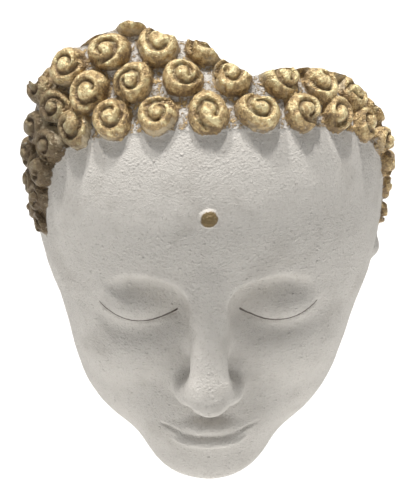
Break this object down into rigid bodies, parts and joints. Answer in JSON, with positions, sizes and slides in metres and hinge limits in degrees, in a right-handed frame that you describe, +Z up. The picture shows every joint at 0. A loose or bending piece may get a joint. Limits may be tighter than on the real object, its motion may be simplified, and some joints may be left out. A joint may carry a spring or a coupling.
{
  "type": "buddha face wall plaque",
  "caption": "Hollow cast face mask for a wall, with closed eyes, rows of snail curls, a small forehead dome, a broken crown edge and a flat back rim.",
  "frame": {"origin": "on the flat back rim at the top, above the hollow, where the plaque bears on the wall over its nail", "axes": "+Y into the wall, square to the flat rim, +Z up, +X to the right of someone facing the plaque"},
  "size_m": [0.2489, 0.1236, 0.3134],
  "materials": {
    "painted_cast": "matte white paint over a grainy casting, curls and forehead dome brushed with gold paint"
  },
  "bodies": {
    "root": {"face_mask": "painted_cast"}
  },
  "joints": []
}
